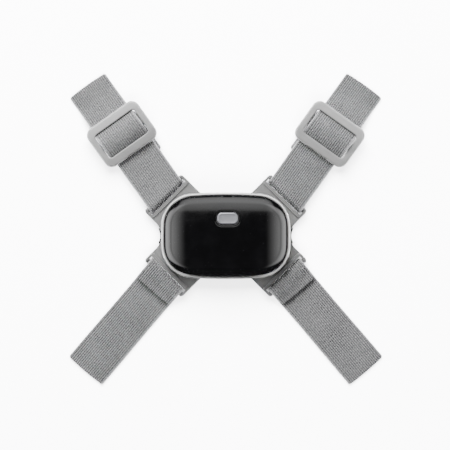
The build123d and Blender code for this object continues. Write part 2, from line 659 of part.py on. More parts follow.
def main():
    os.makedirs("parts", exist_ok=True)
    long_core, long_winding = long_antenna()
    cross_core, cross_winding = cross_antenna()
    nodes = {
        "cradle": cradle(),
        "back_pad": back_pad(),
        "front_shell": front_shell(),
        "rear_shell": rear_shell(),
        "shell_seal": seal_ring(0.02),
        "case_screws": case_screws(),
        "power_key": power_key(),
        "key_seal": key_seal(),
        "switch_body": switch_body(),
        "switch_plunger": switch_plunger(),
        "main_board": main_board(),
        "battery_cell": battery_cell(),
        "battery_foam": battery_foam(),
        "battery_plug": board_plug(),
        "battery_leads": battery_leads(),
        "long_antenna_core": long_core,
        "long_antenna_winding": long_winding,
        "cross_antenna_core": cross_core,
        "cross_antenna_winding": cross_winding,
        "flat_antenna_coil": loop_antenna(),
        "radio_shield": shield_can(),
        "radio_chip": radio_chip(),
        "buzzer": buzzer(),
        "vibration_motor": vibration_motor(),
        "status_light": status_light(),
        "charging_socket": charging_socket(),
    }
    sewn_top = 2 * WEB_THICK + LAYER_GAP
    for side, sign_x in (("left", -1), ("right", 1)):
        upper = (sign_x, 1, UPPER_ANGLE)
        lower = (sign_x, -1, LOWER_ANGLE)
        nodes[f"upper_{side}_webbing"] = strap_solid(
            upper_profile(), *upper, UPPER_LENGTH, UPPER_SQUARE
        )
        nodes[f"upper_{side}_adjuster"] = adjuster(*upper)
        nodes[f"lower_{side}_webbing"] = strap_solid(
            lower_profile(), *lower, LOWER_LENGTH, LOWER_SQUARE
        )
        sewn = ADJUSTER_DISTANCE - SEWN_END
        nodes[f"upper_{side}_stitching"] = [
            *stitch_row(*upper, sewn + 2.0, sewn_top),
            *stitch_row(*upper, sewn + 5.0, sewn_top),
        ]
        nodes[f"lower_{side}_stitching"] = stitch_row(*lower, FLAP_LENGTH - 1.8, sewn_top)
    for name, shape in nodes.items():
        save(name, shape)


main()
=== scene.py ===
"""Avalanche transceiver in its body harness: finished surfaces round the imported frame."""
import json
import math

import bmesh
import bpy
from bpy.props import FloatProperty, FloatVectorProperty, IntProperty, PointerProperty
from mathutils import Matrix, Vector


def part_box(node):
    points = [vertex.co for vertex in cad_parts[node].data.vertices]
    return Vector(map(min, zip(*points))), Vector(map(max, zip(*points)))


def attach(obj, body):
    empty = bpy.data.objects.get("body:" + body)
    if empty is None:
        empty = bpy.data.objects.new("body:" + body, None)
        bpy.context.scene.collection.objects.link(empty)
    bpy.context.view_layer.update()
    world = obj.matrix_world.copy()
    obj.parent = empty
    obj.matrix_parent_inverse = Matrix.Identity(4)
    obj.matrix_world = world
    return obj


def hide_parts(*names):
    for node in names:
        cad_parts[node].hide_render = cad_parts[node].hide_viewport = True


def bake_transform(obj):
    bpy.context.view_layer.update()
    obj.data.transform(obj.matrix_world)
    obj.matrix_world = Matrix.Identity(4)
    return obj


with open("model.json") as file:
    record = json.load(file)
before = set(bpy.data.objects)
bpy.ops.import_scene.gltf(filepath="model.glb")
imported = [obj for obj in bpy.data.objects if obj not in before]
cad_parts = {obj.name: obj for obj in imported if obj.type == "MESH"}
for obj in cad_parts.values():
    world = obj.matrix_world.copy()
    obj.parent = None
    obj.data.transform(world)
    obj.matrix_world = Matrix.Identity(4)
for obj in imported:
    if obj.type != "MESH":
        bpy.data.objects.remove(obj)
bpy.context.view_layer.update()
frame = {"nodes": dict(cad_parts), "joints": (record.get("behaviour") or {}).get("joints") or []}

bl_info = {
    "name": "Avalanche transceiver",
    "version": (1, 0, 0),
    "blender": (4, 5, 0),
    "location": "3D View > Sidebar > Transceiver",
    "description": "Body-worn transceiver in a cradle with four elastic straps",
    "category": "Object",
}

MM = 0.001
RIBS_HALF = 12.0   # the webbing's middle to its outermost rib, in millimetres
SIDES = (("left", -1), ("right", 1))
JOINTS = {joint["name"]: joint for joint in frame["joints"]}


# ------------------------------------------------------------------ sizes and colours
def millimetres(name, value, description):
    """A length that the panel shows, given here in millimetres."""
    return FloatProperty(
        name=name, description=description, default=value * MM, unit="LENGTH", precision=5
    )


def paint(name, code, description):
    """A colour that the panel shows, given here as an sRGB hex code."""
    return FloatVectorProperty(
        name=name, description=description, default=linear(code), subtype="COLOR", size=4, min=0, max=1
    )


def linear(code):
    """Linear red, green, blue and alpha of an sRGB hex code."""
    values = [int(code[i : i + 2], 16) / 255 for i in (1, 3, 5)]
    return (
        *[v / 12.92 if v <= 0.04045 else ((v + 0.055) / 1.055) ** 2.4 for v in values],
        1.0,
    )


class TransceiverSizes(bpy.types.PropertyGroup):
    """Sizes of the unit, its key, the webbing and the sewing thread."""

    corner: millimetres("Corner radius", 16.4, "Round corner of the unit's outline")
    end_bow: millimetres("End bow", 0.5, "How far the unit's short sides bulge")
    side_bow: millimetres("Side bow", 2.2, "How far the unit's long sides bulge")
    wall: millimetres("Shell wall", 1.5, "Thickness of the front shell")
    crown: millimetres("Crown radius", 200.0, "Ball that the face is part of")
    face_edge: millimetres("Face edge radius", 4.6, "Round between the face and the side")
    key_length: millimetres("Key length", 12.0, "Key, across the unit")
    key_width: millimetres("Key width", 7.0, "Key, along the unit's short axis")
    key_corner: millimetres("Key corner radius", 2.8, "Round corner of the key")
    key_bevel: millimetres("Key bevel", 0.75, "Width of the bright bevel round the key")
    recess: millimetres("Key recess", 0.03, "Depth of the recess round the key")
    recess_margin: millimetres("Key recess margin", 1.25, "Key to the recess's edge")
    web_width: millimetres("Webbing width", 25.0, "Width of the elastic webbing")
    web_thick: millimetres("Webbing thickness", 1.2, "Thickness of the elastic webbing")
    rib_pitch: millimetres("Rib pitch", 1.2, "Spacing of the webbing's ribs")
    rib_depth: millimetres("Rib depth", 0.24, "Depth of the groove between ribs")
    knit_pitch: millimetres("Knit pitch", 1.25, "Spacing of the knitted rows along the webbing")
    thread: millimetres("Thread", 0.46, "Thickness of the sewing thread")
    outline_points: IntProperty(
        name="Outline points", description="Points round the unit", default=192, min=48, max=512
    )


class TransceiverColours(bpy.types.PropertyGroup):
    """Colours of the plastics, the yarn, the thread, the rubber and the floor."""

    cradle: paint("Cradle", "#8A8A8A", "Moulded cradle")
    # The rim's bead is part of the cradle, and this lighter grey is a painted highlight.
    rim: paint("Cradle rim", "#BEBEBD", "Polished bead along the cradle's rim")
    shell: paint("Front shell", "#050506", "Polished front shell")
    rear: paint("Rear shell", "#141415", "Textured rear shell")
    key: paint("Key", "#ABACB2", "Satin key")
    adjuster: paint("Adjuster", "#B4B4B4", "Moulded adjuster")
    yarn_light: paint("Light yarn", "#DADADC", "Raised yarn of the webbing")
    # Dark yarn, and also painted shade: the webbing's colour darkens towards it down into the grooves
    # between ribs.
    dark_yarn_and_groove_shade: paint("Dark yarn", "#1E1E1F", "Sunk yarn of the webbing")
    # Drawn near black partly as painted shade: the seam on each lower flap's cut end also stands for the
    # shade under that edge.
    thread: paint("Thread", "#222223", "Sewing thread")
    rubber: paint("Rubber", "#1B1B1C", "Back pad and seals")
    floor: paint("Floor", "#F6F6F7", "Studio floor")


def sizes():
    """The sizes that the panel shows."""
    return bpy.context.scene.transceiver_sizes


def colours():
    """The colours that the panel shows."""
    return bpy.context.scene.transceiver_colours


# ------------------------------------------------------------------ material help
def add(tree, kind, inputs=(), out=0, **settings):
    """Adds one node, sets it up, sets or links its inputs, and gives one of its outputs."""
    node = tree.nodes.new("ShaderNode" + kind)
    for key, value in settings.items():
        setattr(node, key, value)
    for key, value in (inputs if isinstance(inputs, dict) else dict(enumerate(inputs))).items():
        if isinstance(value, bpy.types.NodeSocket):
            tree.links.new(value, node.inputs[key])
        else:
            node.inputs[key].default_value = value
    return node.outputs[out]


def surface(name, **sockets):
    """A new material, its tree, its shader and its object coordinates."""
    material = bpy.data.materials.new(name)
    material.use_nodes = True
    tree = material.node_tree
    tree.nodes.clear()
    shader = add(tree, "BsdfPrincipled", sockets).node
    output = tree.nodes.new("ShaderNodeOutputMaterial")
    tree.links.new(shader.outputs[0], output.inputs["Surface"])
    return material, tree, shader, add(tree, "TexCoord", out="Object")


def finish(material, shader, results):
    """Links what a material has worked out to its shader's sockets."""
    for socket, result in results.items():
        material.node_tree.links.new(result, shader.inputs[socket])
    return material


def lumps(size):
    """The scale of a noise with lumps of about this size in millimetres."""
    return 1 / (size * MM)


def shade(colour, factor):
    """A colour made lighter or darker."""
    return (*[min(1.0, c * factor) for c in colour[:3]], 1.0)


def shared(name, make):
    """The material of this name, made when the first piece asks for it."""
    return bpy.data.materials.get(name) or make()


# ------------------------------------------------------------------ materials
def moulded_plastic(name, colour, grain, rough, worn, **sockets):
    """Injection-moulded thermoplastic: spark-eroded grain, flow marks, and edges polished by handling."""
    material, tree, shader, place = surface(name, **{"IOR": 1.49, "Specular IOR Level": 0.45, **sockets})
    spark = {"Vector": place, "Scale": lumps(grain), "Detail": 3.0, "Roughness": 0.6}
    fine = add(tree, "TexNoise", spark)
    cloud = add(tree, "TexNoise", {"Vector": place, "Scale": lumps(9.0), "Detail": 2.0, "Roughness": 0.5})
    edge = add(tree, "MapRange", (add(tree, "NewGeometry", out="Pointiness"), 0.51, 0.6))
    flow = add(tree, "MapRange", (cloud, 0.3, 0.7))
    tone = add(tree, "Mix", {0: flow, 6: shade(colour, 0.94), 7: shade(colour, 1.04)}, 2, data_type="RGBA")
    pits = add(tree, "MapRange", (fine, 0.35, 0.75, 0.0, 0.22))
    speck = add(tree, "Mix", {0: pits, 6: tone, 7: shade(colour, 1.25)}, 2, data_type="RGBA")
    rubbed = add(tree, "Math", (edge, worn), operation="MULTIPLY")
    final = add(tree, "Mix", {0: rubbed, 6: speck, 7: shade(colour, 1.5)}, 2, data_type="RGBA")
    patches = add(tree, "MapRange", (cloud, 0.3, 0.7, -0.05, 0.05))
    patches = add(tree, "Math", (patches, rough), operation="ADD")
    polish = add(tree, "Math", (edge, -0.12, patches), operation="MULTIPLY_ADD")
    relief = add(tree, "Bump", {"Height": fine, "Distance": 0.035 * MM, "Strength": 0.8})
    return finish(material, shader, {"Base Color": final, "Roughness": polish, "Normal": relief})


def polished_black():
    """High-gloss black polycarbonate: mirror finish with wiping marks and faint finger smears."""
    material, tree, shader, place = surface(
        "polished_black_polycarbonate",
        **{"IOR": 1.58, "Coat Weight": 0.35, "Coat Roughness": 0.03, "Coat IOR": 1.5},
    )
    smear = add(tree, "TexNoise", {"Vector": place, "Scale": lumps(11.0), "Detail": 3.0, "Roughness": 0.6})
    wiped = add(tree, "Mapping", {"Vector": place, "Scale": (1.0, 14.0, 1.0), "Rotation": (0, 0, 0.5)})
    hair = add(tree, "TexNoise", {"Vector": wiped, "Scale": lumps(1.6), "Detail": 4.0, "Roughness": 0.7})
    black = colours().shell
    share = add(tree, "MapRange", (smear, 0.35, 0.75))
    tone = add(tree, "Mix", {0: share, 6: black, 7: shade(black, 2.2)}, 2, data_type="RGBA")
    greasy = add(tree, "MapRange", (smear, 0.45, 0.8, 0.075, 0.15))
    scuffed = add(tree, "MapRange", (hair, 0.62, 0.8, 0.0, 0.05))
    rough = add(tree, "Math", (greasy, scuffed), operation="ADD")
    # Moulded gloss is never quite flat: waves of about 2.4 mm bend its reflections a little.
    waves = add(tree, "TexNoise", {"Vector": place, "Scale": lumps(2.4), "Detail": 1.0, "Roughness": 0.4})
    waves = add(tree, "Bump", {"Height": waves, "Distance": 0.0022 * MM, "Strength": 1.0})
    marks = {"Height": hair, "Distance": 0.0008 * MM, "Strength": 0.6, "Normal": waves}
    relief = add(tree, "Bump", marks)
    return finish(material, shader, {"Base Color": tone, "Roughness": rough, "Normal": relief})


def satin_key():
    """Key in silver-painted plastic: fine metallic flake under a satin lacquer."""
    material, tree, shader, place = surface(
        "silver_painted_key", **{"Metallic": 0.35, "Coat Weight": 0.2, "Coat Roughness": 0.25}
    )
    flake = add(tree, "TexNoise", {"Vector": place, "Scale": lumps(0.09), "Detail": 2.0, "Roughness": 0.6})
    wear = add(tree, "TexNoise", {"Vector": place, "Scale": lumps(2.6), "Detail": 3.0, "Roughness": 0.6})
    silver = colours().key
    share = add(tree, "MapRange", (flake, 0.3, 0.7))
    tone = add(tree, "Mix", {0: share, 6: shade(silver, 0.92), 7: shade(silver, 1.08)}, 2, data_type="RGBA")
    rough = add(tree, "MapRange", (wear, 0.3, 0.75, 0.3, 0.42))
    relief = add(tree, "Bump", {"Height": flake, "Distance": 0.006 * MM, "Strength": 0.7})
    return finish(material, shader, {"Base Color": tone, "Roughness": rough, "Normal": relief})


def ribbed_elastic():
    """Knitted elastic webbing: covered rubber ribs along it, slanting yarn across, a bead at each edge.

    Its map gives millimetres across and along the webbing. The yarn is drawn a little coarser
    than real yarn, which is about 0.3 mm thick, so that its mottled grey shows at arm's length.
    """
    material, tree, shader, place = surface(
        "knitted_elastic_webbing",
        **{"IOR": 1.5, "Roughness": 0.88, "Specular IOR Level": 0.18},
        **{"Sheen Weight": 0.25, "Sheen Roughness": 0.5},
    )
    pitch, knit = sizes().rib_pitch / MM, sizes().knit_pitch / MM
    uv = add(tree, "UVMap", uv_map="webbing")
    flat = add(tree, "SeparateXYZ", (uv,)).node
    across, along = flat.outputs[0], flat.outputs[1]
    # Ribs: 0 on a rib's crown and 1 in the groove between two ribs.
    count = add(tree, "Math", (across, RIBS_HALF + 20 * pitch), operation="ADD")
    count = add(tree, "Math", (count, pitch), operation="DIVIDE")
    rib = add(tree, "Math", (count,), operation="FRACT")
    off = add(tree, "Math", (rib, 0.5), operation="SUBTRACT")
    off = add(tree, "Math", (off,), operation="ABSOLUTE")
    valley = add(tree, "Math", (off, 2.0), operation="MULTIPLY")
    # Rows of yarn, slanting down each side of a rib and wandering as yarn does.
    fibre = add(tree, "Mapping", {"Vector": uv, "Scale": (2.4, 0.7, 1.0)})
    wander = add(tree, "TexNoise", {"Vector": fibre, "Scale": 0.6, "Detail": 2.0})
    rows = add(tree, "Math", (along, knit), operation="DIVIDE")
    rows = add(tree, "Math", (valley, 0.9, rows), operation="MULTIPLY_ADD")
    rows = add(tree, "Math", (wander, 1.7, rows), operation="MULTIPLY_ADD")
    rows = add(tree, "Math", (rows, math.pi), operation="MULTIPLY")
    loop = add(tree, "Math", (rows,), operation="SINE")
    loop = add(tree, "Math", (loop,), operation="ABSOLUTE")
    loop = add(tree, "Math", (loop, 0.65, 0.35), operation="MULTIPLY_ADD")
    groove = add(tree, "Math", (valley, 2.2), operation="POWER")
    crest = add(tree, "Math", (1.0, groove), operation="SUBTRACT")
    yarn = add(tree, "Math", (crest, loop), operation="MULTIPLY")
    # The plain bead at each edge stands at full height.
    from_middle = add(tree, "Math", (across,), operation="ABSOLUTE")
    bead = add(tree, "MapRange", (from_middle, 11.6, 11.85))
    height = add(tree, "Mix", {0: bead, 2: yarn, 3: 1.0}, data_type="FLOAT")
    # Fuzz follows the fibres, and flecks are single light and dark fibres.
    fuzz = add(tree, "TexNoise", {"Vector": fibre, "Scale": 1.35, "Detail": 3.0, "Roughness": 0.75})
    fleck = add(tree, "TexNoise", {"Vector": uv, "Scale": 2.0, "Detail": 2.0, "Roughness": 0.6})
    fuzz_tone = add(tree, "MapRange", (fuzz, 0.36, 0.64, -0.34, 0.34))
    fleck_tone = add(tree, "MapRange", (fleck, 0.38, 0.62, -0.14, 0.14))
    grain = add(tree, "Math", (fuzz_tone, fleck_tone), operation="ADD")
    # The colour follows the height, so the grooves between ribs come out darker: painted shade, under the
    # fuzz and flecks of the yarn.
    share = add(tree, "Math", (height, 0.74, grain), operation="MULTIPLY_ADD", use_clamp=True)
    dark_fibre_and_groove_shade, light = colours().dark_yarn_and_groove_shade, colours().yarn_light
    body = add(tree, "Mix", {0: share, 6: dark_fibre_and_groove_shade, 7: light}, 2, data_type="RGBA")
    sun = add(tree, "TexNoise", {"Vector": place, "Scale": lumps(14.0), "Detail": 2.0, "Roughness": 0.5})
    sun = add(tree, "MapRange", (sun, 0.35, 0.7, 0.0, 0.14))
    faded = add(tree, "Mix", {0: sun, 6: body, 7: light}, 2, data_type="RGBA")
    thick = add(tree, "Math", (fuzz, 0.5, height), operation="MULTIPLY_ADD")
    relief = add(tree, "Bump", {"Height": thick, "Distance": 0.4 * MM, "Strength": 1.0})
    return finish(material, shader, {"Base Color": faded, "Normal": relief})


def soft_rubber():
    """Moulded silicone rubber: matte, with dust caught in a fine texture."""
    material, tree, shader, place = surface("moulded_silicone_rubber", **{"IOR": 1.43, "Roughness": 0.75})
    dust = add(tree, "TexNoise", {"Vector": place, "Scale": lumps(1.1), "Detail": 4.0, "Roughness": 0.65})
    share = add(tree, "MapRange", (dust, 0.5, 0.8, 0.0, 0.5))
    black = colours().rubber
    tone = add(tree, "Mix", {0: share, 6: black, 7: shade(black, 3.0)}, 2, data_type="RGBA")
    grit = add(tree, "TexNoise", {"Vector": place, "Scale": lumps(0.25), "Detail": 2.0, "Roughness": 0.5})
    relief = add(tree, "Bump", {"Height": grit, "Distance": 0.03 * MM, "Strength": 1.0})
    return finish(material, shader, {"Base Color": tone, "Normal": relief})


def twisted_thread():
    """Polyester sewing thread: two plies twisted, slightly shiny."""
    material, tree, shader, place = surface(
        "twisted_polyester_thread_and_edge_shade", **{"Roughness": 0.55, "Sheen Weight": 0.3, "Sheen Roughness": 0.4}
    )
    # Bands this close stand about half a millimetre apart along a stitch.
    twist = {"Vector": place, "Scale": 900.0, "Distortion": 0.4}
    ply = add(tree, "TexWave", twist, 1, bands_direction="DIAGONAL")
    grey = colours().thread
    tone = add(tree, "Mix", {0: ply, 6: shade(grey, 0.7), 7: shade(grey, 1.15)}, 2, data_type="RGBA")
    relief = add(tree, "Bump", {"Height": ply, "Distance": 0.05 * MM, "Strength": 1.0})
    return finish(material, shader, {"Base Color": tone, "Normal": relief})


def bright_metal(name, code, rough):
    """Tinned, rolled or turned sheet metal: fine directional lines and faint stains."""
    material, tree, shader, place = surface(name, **{"Metallic": 1.0})
    lines = add(tree, "Mapping", {"Vector": place, "Scale": (1.0, 18.0, 1.0)})
    grain = add(tree, "TexNoise", {"Vector": lines, "Scale": lumps(1.2), "Detail": 3.0, "Roughness": 0.6})
    stain = add(tree, "TexNoise", {"Vector": place, "Scale": lumps(3.0), "Detail": 3.0, "Roughness": 0.6})
    colour = linear(code)
    share = add(tree, "MapRange", (stain, 0.4, 0.8))
    tone = add(tree, "Mix", {0: share, 6: colour, 7: shade(colour, 0.7)}, 2, data_type="RGBA")
    polish = add(tree, "MapRange", (grain, 0.3, 0.7, rough - 0.07, rough + 0.08))
    relief = add(tree, "Bump", {"Height": grain, "Distance": 0.004 * MM, "Strength": 1.0})
    return finish(material, shader, {"Base Color": tone, "Roughness": polish, "Normal": relief})


def enamelled_wire():
    """Copper winding: round turns of enamelled wire side by side."""
    material, tree, shader, place = surface(
        "enamelled_copper_wire",
        **{"Metallic": 0.9, "Roughness": 0.3, "Coat Weight": 0.6, "Coat Roughness": 0.1},
    )
    # Bands this close stand about 0.6 mm apart along a winding, coarser than the wire so that they show.
    turns = add(tree, "TexWave", {"Vector": place, "Scale": 1100.0}, 1, bands_direction="DIAGONAL")
    copper = {0: turns, 6: linear("#5A2A12"), 7: linear("#B8672E")}
    tone = add(tree, "Mix", copper, 2, data_type="RGBA")
    relief = add(tree, "Bump", {"Height": turns, "Distance": 0.08 * MM, "Strength": 1.0})
    return finish(material, shader, {"Base Color": tone, "Normal": relief})


def solder_masked_board():
    """Glass-epoxy board under green solder mask: woven cloth and buried tracks just show."""
    material, tree, shader, place = surface(
        "green_solder_mask", **{"Roughness": 0.35, "Coat Weight": 0.4, "Coat Roughness": 0.2}
    )
    # Cells of about 2.4 mm stand for the tracks, and checks of about 0.45 mm for the cloth.
    cells = {"Vector": place, "Scale": 420.0}
    tracks = add(tree, "TexVoronoi", cells, distance="MANHATTAN", feature="F2")
    weave = add(tree, "TexChecker", {"Vector": place, "Scale": 2200.0}, 1)
    share = add(tree, "MapRange", (tracks, 0.5, 0.6))
    mask = {0: share, 6: linear("#0E3B1E"), 7: linear("#1B5A30")}
    tone = add(tree, "Mix", mask, 2, data_type="RGBA")
    height = add(tree, "Math", (weave, 0.1, tracks), operation="MULTIPLY_ADD")
    relief = add(tree, "Bump", {"Height": height, "Distance": 0.03 * MM, "Strength": 0.5})
    return finish(material, shader, {"Base Color": tone, "Normal": relief})


# ------------------------------------------------------------------ outlines
def unit_edge():
    """How far a point lies outside the unit's outline, and the outline's outward direction there."""
    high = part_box("rear_shell")[1]
    own = sizes()
    corner_x, corner_y = high.x - own.end_bow, high.y - own.side_bow
    side_radius = (corner_x**2 + own.side_bow**2) / (2 * own.side_bow)
    end_radius = (corner_y**2 + own.end_bow**2) / (2 * own.end_bow)
    side_centre = Vector((0, high.y - side_radius))
    end_centre = Vector((high.x - end_radius, 0))
    side_inner, end_inner = side_radius - own.corner, end_radius - own.corner
    gap = end_centre - side_centre
    along = (side_inner**2 - end_inner**2 + gap.length_squared) / (2 * gap.length)
    off = math.sqrt(side_inner**2 - along**2)
    direction = gap.normalized()
    corner = side_centre + direction * along + Vector((direction.y, -direction.x)) * off

    def edge(x, y):
        point = Vector((abs(x), abs(y)))
        side_arm, end_arm = corner - side_centre, corner - end_centre
        if side_arm.cross(point - side_centre) > 0:
            away, size = point - side_centre, side_radius
        elif end_arm.cross(point - end_centre) < 0:
            away, size = point - end_centre, end_radius
        else:
            away, size = point - corner, own.corner
        out = away.normalized()
        return away.length - size, Vector((math.copysign(out.x, x), math.copysign(out.y, y)))

    return edge


def reach(edge, angle, grow, most=0.08):
    """The point in this direction that lies this far outside an outline."""
    low, high = 0.0, most
    c, s = math.cos(angle), math.sin(angle)
    for _ in range(40):
        middle = (low + high) / 2
        if edge(middle * c, middle * s)[0] < grow:
            low = middle
        else:
            high = middle
    return Vector((low * c, low * s))


def round_box(half_x, half_y, corner):
    """The same test as unit_edge, for a plain round-cornered rectangle."""

    def edge(x, y):
        px, py = abs(x) - half_x + corner, abs(y) - half_y + corner
        outside = math.hypot(max(px, 0), max(py, 0))
        return outside + min(max(px, py), 0) - corner, None

    return edge


# ------------------------------------------------------------------ mesh help
def finished(name, bm, material):
    """A new object from a bmesh, with its faces outwards and its doubles merged."""
    bmesh.ops.remove_doubles(bm, verts=bm.verts, dist=1e-7)
    bmesh.ops.recalc_face_normals(bm, faces=bm.faces)
    mesh = bpy.data.meshes.new(name)
    bm.to_mesh(mesh)
    bm.free()
    for polygon in mesh.polygons:
        polygon.use_smooth = True
    mesh.materials.append(material)
    piece = bpy.data.objects.new(name, mesh)
    bpy.context.scene.collection.objects.link(piece)
    return piece


def wrapped_grid(around, along, place, flat=None):
    """A grid bent into shape: place gives each crossing's position, and flat its place on the UV map."""
    bm = bmesh.new()
    bmesh.ops.create_grid(bm, x_segments=around, y_segments=along, size=0.5)
    steps = {
        v: (round((v.co.x + 0.5) * around), round((v.co.y + 0.5) * along)) for v in bm.verts
    }
    if flat:
        layer = bm.loops.layers.uv.new("webbing")
        for face in bm.faces:
            for loop in face.loops:
                loop[layer].uv = flat(*steps[loop.vert])
    for vertex, (i, k) in steps.items():
        vertex.co = place(i, k)
    return bm


def ring_grid(rings, closed=False):
    """A surface through rings of points, each with as many points as the others."""
    around = len(rings[0])
    along = len(rings) - (0 if closed else 1)
    return wrapped_grid(around, along, lambda i, k: rings[k % len(rings)][i % around])


def repaint(node, material):
    """Gives a CAD node's object a finished material."""
    piece = frame["nodes"][node]
    piece.data.materials.clear()
    piece.data.materials.append(material)
    for polygon in piece.data.polygons:
        polygon.material_index = 0


# ------------------------------------------------------------------ the unit
def face_height(edge, top):
    """Height of the crowned, round-edged face over any point inside the outline."""
    crown, radius = sizes().crown, sizes().face_edge
    steep = math.radians(47)
    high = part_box("front_shell")[1]

    def dome(point):
        near_end = max(0.0, abs(point.x) - (high.x - 13 * MM)) / (13 * MM)
        return top - crown + math.sqrt(crown**2 - point.length_squared) - 1.15 * MM * near_end**2.6

    def height(x, y):
        outside, out = edge(x, y)
        inset = max(0.0, -outside)
        point = Vector((x, y))
        if inset > radius:
            return dome(point)
        flat = math.asin((point.dot(out) - radius + inset) / crown)
        span = radius * (1 - math.sin(flat))
        if inset > span:
            return dome(point)
        arc = span / (math.sin(steep) - math.sin(flat))
        tilt = math.asin(math.sin(steep) - inset / arc)
        return dome(point - out * (span - inset)) - arc * (math.cos(flat) - math.cos(tilt))

    return height


def shell_rings():
    """Rings of points that run up the shell's side, over its face to the key hole, and back inside."""
    own, edge = sizes(), unit_edge()
    low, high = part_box("front_shell")
    height = face_height(edge, high.z)
    key_low, key_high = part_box("power_key")
    key_x, key_y = (key_low.x + key_high.x) / 2, (key_low.y + key_high.y) / 2
    count = own.outline_points
    angles = [2 * math.pi * i / count for i in range(count)]
    key_edge = round_box(own.key_length / 2, own.key_width / 2, own.key_corner)

    def ring(grow, z=None, lower=0.0):
        points = [reach(edge, a, grow) for a in angles]
        return [Vector((*p, (height(*p) if z is None else z) - lower)) for p in points]

    def key_ring(margin, lower=None, z=None):
        points = [reach(key_edge, a, margin) + Vector((key_x, key_y)) for a in angles]
        return [Vector((*p, height(*p) - lower if z is None else z)) for p in points]

    side_top = min(p.z for p in ring(-1e-6))
    rings = [ring(-0.15 * MM, low.z), ring(0.0, low.z + 0.15 * MM), ring(0.0, (low.z + side_top) / 2)]
    rings.append(ring(0.0, lower=0.12 * MM))
    steps = 18
    for k in range(steps + 1):
        rings.append(ring(-0.04 * MM - own.face_edge * (1 - math.cos(math.pi / 2 * k / steps))))
    brink = ring(-own.face_edge * 1.15)
    rings.append(brink)
    lip = key_ring(own.recess_margin + 0.12 * MM, 0.0)
    laps = 22
    for k in range(1, laps):
        share = k / laps
        points = [a.lerp(b, share) for a, b in zip(brink, lip)]
        rings.append([Vector((p.x, p.y, height(p.x, p.y))) for p in points])
    rings.append(lip)
    for margin, drop in ((0.05, 0.0), (-0.05, 1.0), (-0.2, 1.0)):
        rings.append(key_ring(own.recess_margin + margin * MM, own.recess * drop))
    for margin, drop in ((0.5, 0.0), (0.38, 0.0), (0.28, 0.05), (0.25, 0.14)):
        rings.append(key_ring(margin * MM, own.recess + drop * MM))
    rings.append(key_ring(0.25 * MM, own.wall))
    rings.append(key_ring(0.5 * MM, own.wall + 0.02 * MM))
    inner_edge = ring(-own.face_edge * 1.1, lower=own.wall)
    rings.append([a.lerp(b, 0.5) for a, b in zip(rings[-1], inner_edge)])
    rings.append(inner_edge)
    for share in (0.75, 0.45, 0.2):
        rings.append(
            [
                Vector((*reach(edge, a, -own.wall - own.face_edge * share * 0.6), p.z))
                for a, p in zip(angles, ring(-own.face_edge * share, lower=own.wall))
            ]
        )
    rings.append(ring(-own.wall, low.z))
    return rings


def build_front_shell():
    """Polished dome with the key's recess and hole, and the plug's recess cut into its side."""
    shell = finished("front_shell_polished", ring_grid(shell_rings(), closed=True), polished_black())
    low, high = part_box("charging_socket")
    middle = (low + high) / 2 + Vector((0, 0, 0.6 * MM))
    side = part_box("front_shell")[1].y
    bm = bmesh.new()
    bmesh.ops.create_cube(bm, size=1, matrix=Matrix.Diagonal((8.0 * MM, 3.4 * MM, 5.0 * MM, 1)))
    uprights = [e for e in bm.edges if abs(e.verts[0].co.y - e.verts[1].co.y) > 1 * MM]
    bmesh.ops.bevel(
        bm, geom=uprights, offset=1.5 * MM, segments=6, affect="EDGES", profile=0.5, material=-1
    )
    bmesh.ops.translate(bm, verts=bm.verts, vec=(middle.x, side + 0.25 * MM, middle.z + 0.4 * MM))
    cutter = finished("plug_recess_cutter", bm, shell.data.materials[0])
    cut = shell.modifiers.new("plug recess", "BOOLEAN")
    cut.object, cut.operation, cut.solver = cutter, "DIFFERENCE", "EXACT"
    graph = bpy.context.evaluated_depsgraph_get()
    mesh = bpy.data.meshes.new_from_object(shell.evaluated_get(graph))
    shell.modifiers.clear()
    shell.data = mesh
    bpy.data.objects.remove(cutter)
    mesh.set_sharp_from_angle(angle=math.radians(38))
    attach(shell, "transceiver")
    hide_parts("front_shell")


def build_key():
    """Key: a satin cap with a bevel round a gently dished top."""
    own = sizes()
    low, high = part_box("power_key")
    middle = (low + high) / 2
    trim = 0.3 * MM
    edge = round_box(own.key_length / 2 - trim, own.key_width / 2 - trim, own.key_corner - trim)
    count = own.outline_points // 2
    angles = [2 * math.pi * i / count for i in range(count)]

    def ring(margin, z):
        return [
            Vector((p.x + middle.x, p.y + middle.y, z)) for p in (reach(edge, a, margin) for a in angles)
        ]

    flange = 0.8 * MM
    rings = [
        ring(-own.key_width * 0.45, low.z + 3.0 * MM),
        ring(flange - 0.1 * MM, high.z - 3.3 * MM),
        ring(flange, high.z - 3.2 * MM),
        ring(flange, high.z - 2.6 * MM),
        ring(flange - 0.1 * MM, high.z - 2.5 * MM),
        ring(0.0, high.z - 2.45 * MM),
        ring(0.0, high.z - 0.42 * MM),
        ring(-0.05 * MM, high.z - 0.3 * MM),
        ring(-own.key_bevel * 0.45, high.z - 0.06 * MM),
        ring(-own.key_bevel * 0.75, high.z - 0.01 * MM),
        ring(-own.key_bevel, high.z - 0.02 * MM),
        ring(-own.key_bevel - 0.12 * MM, high.z - 0.07 * MM),
    ]
    rim = rings[-1]
    for share, dip in ((0.7, 0.14), (0.4, 0.2), (0.12, 0.22)):
        centre = Vector((middle.x, middle.y, high.z - dip * MM))
        rings.append([centre + Vector((p.x - centre.x, p.y - centre.y, 0)) * share for p in rim])
    bm = ring_grid(rings)
    bmesh.ops.remove_doubles(bm, verts=bm.verts, dist=1e-7)
    bmesh.ops.holes_fill(bm, edges=bm.edges, sides=0)
    key = finished("power_key_cap", bm, satin_key())
    key.data.set_sharp_from_angle(angle=math.radians(50))
    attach(key, "key")
    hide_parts("power_key")


